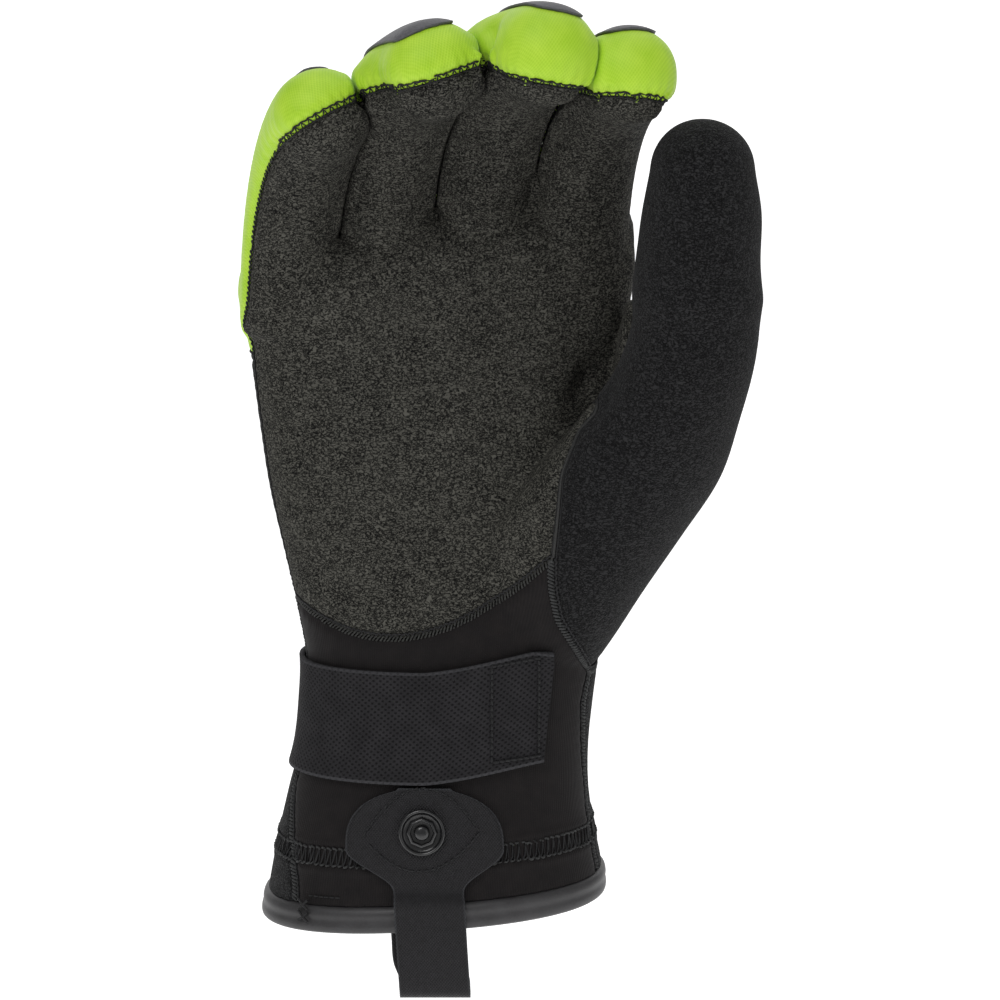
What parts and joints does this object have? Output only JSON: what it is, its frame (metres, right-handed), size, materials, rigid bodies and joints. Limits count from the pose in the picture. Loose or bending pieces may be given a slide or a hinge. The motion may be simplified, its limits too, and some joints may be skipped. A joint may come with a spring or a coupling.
{
  "type": "water rescue glove",
  "caption": "Right-hand neoprene water glove shown in worn form: gripping palm panel, coloured finger backs, wrist strap, edge seal and a snap-down pull tab.",
  "frame": {"origin": "centre of the wrist inside the cuff, where the hand that fills the glove holds it", "axes": "+Z from the cuff's mouth towards the fingertips, -Y out of the palm, +Y out of the back of the hand, +X towards the thumb"},
  "size_m": [0.1381, 0.0904, 0.267],
  "materials": {
    "grip_fabric": "dark grey heathered grip fabric on neoprene",
    "lime_neoprene": "lime green fine knit on neoprene",
    "plush_knit": "black short-pile knit on neoprene",
    "smooth_neoprene": "black smooth-faced neoprene",
    "edge_rubber": "dark grey satin rubber film",
    "elastic_web": "black woven elastic",
    "coated_fabric": "black coated twill",
    "snap_plastic": "glossy black",
    "pad_film": "dark grey satin film"
  },
  "bodies": {
    "root": {"palm_panel": "grip_fabric", "cuff_panel": "smooth_neoprene", "back_panel": "lime_neoprene", "back_cuff_panel": "plush_knit", "thumb_panel": "plush_knit", "rim_seal": "edge_rubber", "wrist_strap": "elastic_web", "pull_tab": "coated_fabric", "snap_stud": "snap_plastic", "little_pad": "pad_film", "ring_pad": "pad_film", "middle_pad": "pad_film", "index_pad": "pad_film"}
  },
  "joints": []
}
